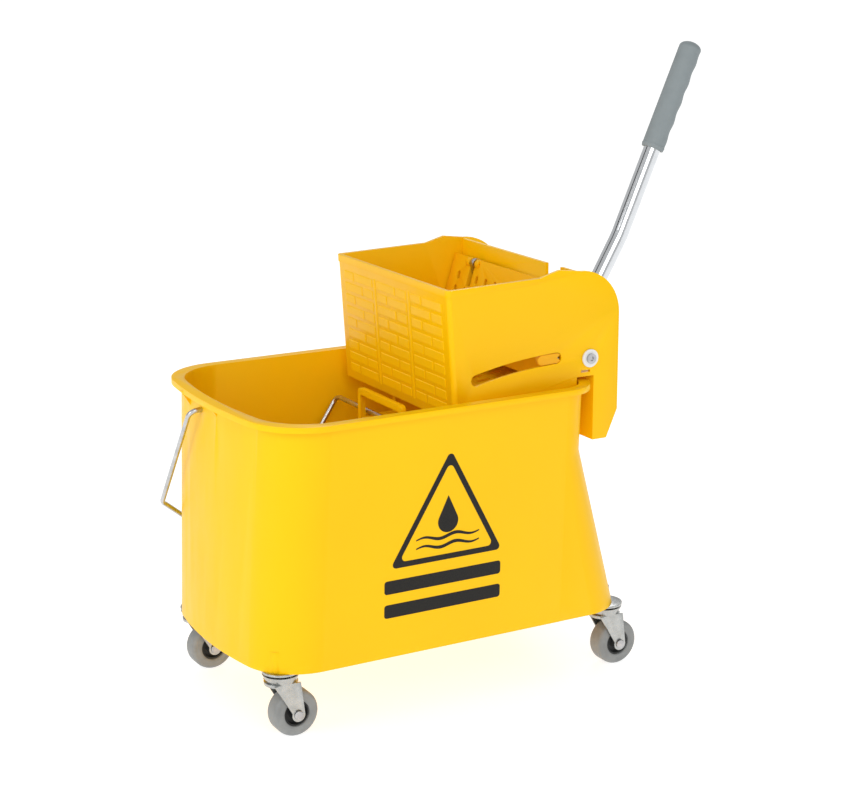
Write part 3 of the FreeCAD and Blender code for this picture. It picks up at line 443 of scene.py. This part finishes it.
def printed(name, loops):
    """A flat printed shape on the wall. loops are outlines in (x, z); inner loops are holes."""
    curve = bpy.data.curves.new(name, "CURVE")
    curve.dimensions = "2D"
    curve.fill_mode = "BOTH"
    for loop in loops:
        spline = curve.splines.new("POLY")
        spline.points.add(len(loop) - 1)
        for target, (x, z) in zip(spline.points, loop):
            target.co = (x, z, 0.0, 1.0)
        spline.use_cyclic_u = True
    flat = mesh_from_curve(curve)
    shape = bmesh.new()
    shape.from_mesh(flat)
    bmesh.ops.remove_doubles(shape, verts=shape.verts, dist=0.001)
    for vertex in shape.verts:
        vertex.co = on_wall(vertex.co.x, vertex.co.y, PRINT_GAP)
    bmesh.ops.recalc_face_normals(shape, faces=shape.faces)
    outward = Vector((0, -1, 0))
    for face in shape.faces:
        if face.normal.dot(outward) < 0:
            face.normal_flip()
    grown = bmesh.ops.extrude_face_region(shape, geom=list(shape.faces))
    for item in grown["geom"]:
        if isinstance(item, bmesh.types.BMVert):
            item.co += outward * PRINT_THICKNESS * MM
    bmesh.ops.recalc_face_normals(shape, faces=shape.faces)
    mesh = mesh_from(shape, name)
    add_piece(name, mesh, "black_rubber", "tub")
    mesh.materials.clear()
    mesh.materials.append(INK)


def wave(x_low, x_high, z, height, thickness):
    """A band of two waves as one closed outline, thinner towards both ends."""
    waves = 2
    steps = 36
    taper_start = 0.12
    top = []
    bottom = []
    for i in range(steps + 1):
        t = i / steps
        x = x_low + (x_high - x_low) * t
        middle = z + height * math.sin(2 * math.pi * waves * t)
        half = thickness / 2 * math.sin(math.pi * (taper_start + (1 - 2 * taper_start) * t))
        top.append((x, middle + half))
        bottom.append((x, middle - half))
    return top + bottom[::-1]


def droplet(x, z, radius, tip):
    """A water drop: a round foot with two tangent sides up to a point, tip above its centre."""
    steps = 40
    reach = math.acos(radius / tip)
    points = [(x, z + tip)]
    for i in range(steps + 1):
        a = math.pi / 2 - reach - (2 * math.pi - 2 * reach) * i / steps
        points.append((x + radius * math.cos(a), z + radius * math.sin(a)))
    return points


def dress_print():
    """A plain triangle with a drop over two waves, and two plain bars below it."""
    middle = sum((Vector(corner) for corner in TRIANGLE), Vector((0, 0))) / 3
    hole = [
        tuple(middle + (Vector(point) - middle) * TRIANGLE_HOLE)
        for point in rounded(TRIANGLE, radius=5.0)]
    printed("hazard_triangle", [rounded(TRIANGLE, radius=4.0), hole[::-1]])
    printed("hazard_drop", [droplet(middle.x, middle.y + 2.0, radius=11.5, tip=27.0)])
    for i, z in enumerate(WAVE_HEIGHTS):
        band = wave(
            middle.x - WAVE_HALF_LENGTH, middle.x + WAVE_HALF_LENGTH, z, height=1.9, thickness=3.6)
        printed(f"hazard_wave_{i + 1}", [band])
    x_low, x_high = BAR_ENDS
    for i, (low, high) in enumerate(BAR_HEIGHTS):
        corners = [(x_low, low), (x_high, low), (x_high, high), (x_low, high)]
        printed(f"plain_bar_{i + 1}", [rounded(corners, radius=3.0)])


# ---- lever grip ----
# sizes in mm; flare and finger depth are shares of the radius, and the dome's cut is a share of
# its square
GRIP_LEAN = math.radians(24.0)
GRIP_RADIUS = 12.3
GRIP_TIP_RADIUS = 8.0
GRIP_SLACK = 0.4
GRIP_CUFF = 4.0
GRIP_CUFF_FLARE = 0.07
GRIP_DOME = 7.0
GRIP_DOME_CUT = 0.86
FINGER_MARGIN = 14.0
FINGER_PITCH = 21.5
FINGER_DEPTH = 0.115


def grip_radius(s, length):
    """Radius of the sleeve before its finger waves, at s mm from its foot."""
    if s < GRIP_CUFF:
        rise = math.sin(math.pi / 2 * s / GRIP_CUFF)
        return GRIP_RADIUS * (1 - GRIP_CUFF_FLARE + GRIP_CUFF_FLARE * rise)
    near_end = max(0.0, (s - (length - GRIP_DOME)) / GRIP_DOME)
    return (GRIP_RADIUS - GRIP_SLACK) * math.sqrt(max(0.0, 1.0 - near_end ** 2 * GRIP_DOME_CUT))


def dress_grip():
    """Soft sleeve: flared cuff, finger waves on the palm side and a domed end."""
    low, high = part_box("lever_grip")
    along = Vector((math.sin(GRIP_LEAN), 0, math.cos(GRIP_LEAN)))
    foot = Vector((
        low[0] + GRIP_RADIUS * MM * math.cos(GRIP_LEAN),
        (low[1] + high[1]) / 2,
        low[2] + GRIP_RADIUS * MM * math.sin(GRIP_LEAN)))
    top_z = high[2] - GRIP_TIP_RADIUS * MM * math.sin(GRIP_LEAN)
    length = (top_z - foot.z) / along.z / MM
    across = Vector((along.z, 0, -along.x))
    sideways = along.cross(across)
    rings = 150
    steps = 64
    shape = bmesh.new()
    grid = []
    for i in range(rings + 1):
        s = length * i / rings
        radius = grip_radius(s, length)
        wave_zone = min(1.0, s / FINGER_MARGIN, max(0.0, (length - s) / FINGER_MARGIN))
        hollow = 0.5 + 0.5 * math.cos(2 * math.pi * s / FINGER_PITCH)
        ring = []
        for k in range(steps):
            a = 2 * math.pi * k / steps
            palm = max(0.0, math.cos(a)) ** 1.5
            r = radius * (1.0 - FINGER_DEPTH * wave_zone * hollow * palm)
            outward = across * math.cos(a) + sideways * math.sin(a)
            ring.append(shape.verts.new(foot + (along * s + outward * r) * MM))
        grid.append(ring)
    for low_ring, high_ring in zip(grid, grid[1:]):
        for k in range(steps):
            j = (k + 1) % steps
            shape.faces.new((low_ring[k], low_ring[j], high_ring[j], high_ring[k]))
    shape.faces.new(grid[-1])
    shape.faces.new(grid[0][::-1])
    bmesh.ops.recalc_face_normals(shape, faces=shape.faces)
    mesh = mesh_from(shape, "finger_grip")
    smooth(add_piece("finger_grip", mesh, "grey_grip", "lever", "lever_grip"), 40.0)


# ---- casters ----
WHEEL_RADIUS = 24.0
TYRE_HALF = 10.5
TYRE_SHOULDER = 4.2
TYRE_SLACK = 0.05
SIDE_STEP = 0.35
HUB_RADIUS = 13.0
HUB_BORE = 3.05
# half of the wheel centre's section, as (radius, along the axle), from the bore out to the tyre
HUB_HALF = (
    (HUB_BORE, -11.0), (5.6, -11.0), (6.0, -10.6), (6.0, -4.0), (7.0, -3.2), (11.4, -3.2), (11.8, -3.8),
    (11.8, -8.6), (HUB_RADIUS + 0.2, -8.6))


def tyre_half():
    """Half of the tyre's section, as (radius, along the axle), from the hub out to the tread."""
    shoulder_radius = WHEEL_RADIUS - TYRE_SLACK - TYRE_SHOULDER
    points = [
        (HUB_RADIUS, -TYRE_HALF + 3.0),
        (HUB_RADIUS + 0.6, -TYRE_HALF + 0.5),
        (HUB_RADIUS + 1.6, -TYRE_HALF),
        (shoulder_radius - 2.6, -TYRE_HALF),
        (shoulder_radius - 2.0, -TYRE_HALF + SIDE_STEP)]
    steps = 10
    for i in range(steps + 1):
        a = math.pi / 2 * (i / steps - 1)
        points.append((
            shoulder_radius + TYRE_SHOULDER * math.cos(a),
            TYRE_SHOULDER - TYRE_HALF + SIDE_STEP + TYRE_SHOULDER * math.sin(a)))
    return points


def mirrored(half):
    """A closed section from its first half, mirrored across the wheel's middle."""
    return list(half) + [(radius, -along) for radius, along in reversed(half)]


def dress_wheel(name):
    """Grey tyre with rounded shoulders round a dark wheel centre, recessed between hub and rim."""
    centre = middle_of(name + "_tyre")
    body = name + "_wheel"
    turned(name + "_tread", mirrored(tyre_half()), centre, "grey_tyre", body, name + "_tyre", 96)
    turned(name + "_centre", mirrored(HUB_HALF), centre, "hub_plastic", body, name + "_hub", 72)


def dress_casters():
    """Gives each caster a turned wheel, and rounded edges on its pressed and machined parts."""
    for end in ("front", "rear"):
        for side in ("left", "right"):
            name = f"caster_{end}_{side}"
            dress_wheel(name)
            softened(name + "_fork", width_mm=0.5)
            softened(name + "_plate", width_mm=0.5)
            softened(name + "_axle", width_mm=0.6)


# ---- return springs ----
SPRING_RADIUS = 9.4
SPRING_WIRE = 1.2
SPRING_END_GAP = 1.4
SPRING_TURNS = 6.25
SPRING_LEG = 13.0


def dress_springs():
    """Torsion springs: coils round the cross shaft, with a straight leg down from the first one."""
    for side in ("left", "right"):
        node = "return_spring_" + side
        low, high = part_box(node)
        centre = middle_of(node)
        start = low[1] + SPRING_END_GAP * MM
        length = high[1] - low[1] - 2 * SPRING_END_GAP * MM
        steps = 300
        points = []
        for i in range(steps + 1):
            a = 2 * math.pi * SPRING_TURNS * i / steps
            points.append(Vector((
                centre.x + SPRING_RADIUS * MM * math.cos(a),
                start + length * i / steps,
                centre.z + SPRING_RADIUS * MM * math.sin(a))))
        points.insert(0, points[0] - Vector((0, 0, SPRING_LEG * MM)))
        swept_wire("torsion_spring_" + side, points, SPRING_WIRE, "steel_bright", "wringer", node)


# ---- carried-over nodes ----
def dress_rest():
    """Gives every CAD node its slot's material."""
    for node, piece in frame["nodes"].items():
        piece.data.materials.clear()
        piece.data.materials.append(MATERIALS[SLOT_OF[node]])


# ---- stage, light and camera ----
CAMERA_AT = (-932.9, -1756.3, 814.0)
CAMERA_LOOKS_AT = (72.1, -0.1, 289.1)
CAMERA_LENS = 83.0
LIGHT_TARGET = Vector((0.0, 0.0, 0.28))
CARD_DISTANCE = 3.0
CARD_FOOT = 0.1
CARD_HEAD = 4.0
FLOOR_REACH = 30.0


def soft_box(name, place, size, power):
    """A rectangular area light, in metres, turned to the object's middle."""
    data = bpy.data.lights.new(name, "AREA")
    data.shape = "RECTANGLE"
    data.size = size[0]
    data.size_y = size[1]
    data.energy = power
    light = bpy.data.objects.new(name, data)
    bpy.context.scene.collection.objects.link(light)
    light.location = place
    light.rotation_euler = (LIGHT_TARGET - Vector(place)).to_track_quat("-Z", "Y").to_euler()


def dark_card(name, azimuth, width):
    """A tall dark card out of view, seen only in reflections, which draws lines in the chrome."""
    a = math.radians(azimuth)
    centre = Vector((math.sin(a), -math.cos(a), 0)) * CARD_DISTANCE
    across = Vector((math.cos(a), math.sin(a), 0)) * width / 2
    foot = Vector((0, 0, CARD_FOOT))
    head = Vector((0, 0, CARD_HEAD))
    corners = (
        centre - across + foot, centre + across + foot, centre + across + head, centre - across + head)
    mesh = bpy.data.meshes.new(name)
    mesh.from_pydata([tuple(corner) for corner in corners], [], [(0, 1, 2, 3)])
    card = bpy.data.objects.new(name, mesh)
    bpy.context.scene.collection.objects.link(card)
    material, _, shader = new_material(name)
    shader.inputs["Base Color"].default_value = (0.02, 0.02, 0.022, 1.0)
    shader.inputs["Roughness"].default_value = 0.9
    mesh.materials.append(material)
    card.visible_camera = False
    card.visible_diffuse = False
    card.visible_shadow = False
    card.visible_transmission = False


def make_world():
    """A white world: plain white to the camera, and a softer light on the object."""
    world = bpy.data.worlds.new("soft_studio")
    world.use_nodes = True
    nodes = world.node_tree.nodes
    links = world.node_tree.links
    lighting = nodes["Background"]
    lighting.inputs["Color"].default_value = (1.0, 1.0, 1.0, 1.0)
    lighting.inputs["Strength"].default_value = 0.60
    backdrop = nodes.new("ShaderNodeBackground")
    backdrop.inputs["Color"].default_value = (1.0, 1.0, 1.0, 1.0)
    backdrop.inputs["Strength"].default_value = 1.0
    sight = nodes.new("ShaderNodeLightPath")
    choice = nodes.new("ShaderNodeMixShader")
    links.new(sight.outputs["Is Camera Ray"], choice.inputs["Fac"])
    links.new(lighting.outputs["Background"], choice.inputs[1])
    links.new(backdrop.outputs["Background"], choice.inputs[2])
    links.new(choice.outputs["Shader"], nodes["World Output"].inputs["Surface"])
    bpy.context.scene.world = world


def make_floor():
    """A wide pale floor, part lit and part glowing, which reads as white with a faint shadow."""
    mesh = bpy.data.meshes.new("pale_floor")
    low, high = -FLOOR_REACH, FLOOR_REACH
    mesh.from_pydata([(low, low, 0), (high, low, 0), (high, high, 0), (low, high, 0)], [], [(0, 1, 2, 3)])
    floor = bpy.data.objects.new("pale_floor", mesh)
    bpy.context.scene.collection.objects.link(floor)
    material, _, shader = new_material("pale_floor")
    shader.inputs["Base Color"].default_value = (0.55, 0.55, 0.55, 1.0)
    shader.inputs["Roughness"].default_value = 0.6
    shader.inputs["Specular IOR Level"].default_value = 0.1
    shader.inputs["Emission Color"].default_value = (1.0, 1.0, 1.0, 1.0)
    shader.inputs["Emission Strength"].default_value = 0.72
    mesh.materials.append(material)


def make_stage():
    """World, floor, three soft boxes and the cards that the chrome reflects."""
    make_world()
    make_floor()
    soft_box("key", (-1.0, -2.3, 1.5), (1.6, 1.2), 16.0)
    soft_box("front_fill", (-2.3, -0.3, 1.0), (1.2, 1.4), 13.0)
    soft_box("rear_rim", (1.6, 1.6, 1.7), (1.2, 1.0), 12.0)
    for i, (azimuth, width) in enumerate(((-18.0, 0.28), (62.0, 0.9), (-118.0, 0.9))):
        dark_card(f"dark_card_{i + 1}", azimuth, width)


def make_camera():
    """A long lens from the front left, higher than the lever's end."""
    data = bpy.data.cameras.new("studio_camera")
    data.lens = CAMERA_LENS
    data.sensor_width = 36.0
    camera = bpy.data.objects.new("studio_camera", data)
    bpy.context.scene.collection.objects.link(camera)
    place = at(*CAMERA_AT)
    camera.location = place
    camera.rotation_euler = (at(*CAMERA_LOOKS_AT) - place).to_track_quat("-Z", "Y").to_euler()
    bpy.context.scene.camera = camera


bpy.context.scene.view_settings.view_transform = "Standard"
dress_rest()
dress_shells()
dress_front_pattern()
dress_print()
dress_grip()
dress_casters()
dress_springs()
make_stage()
make_camera()
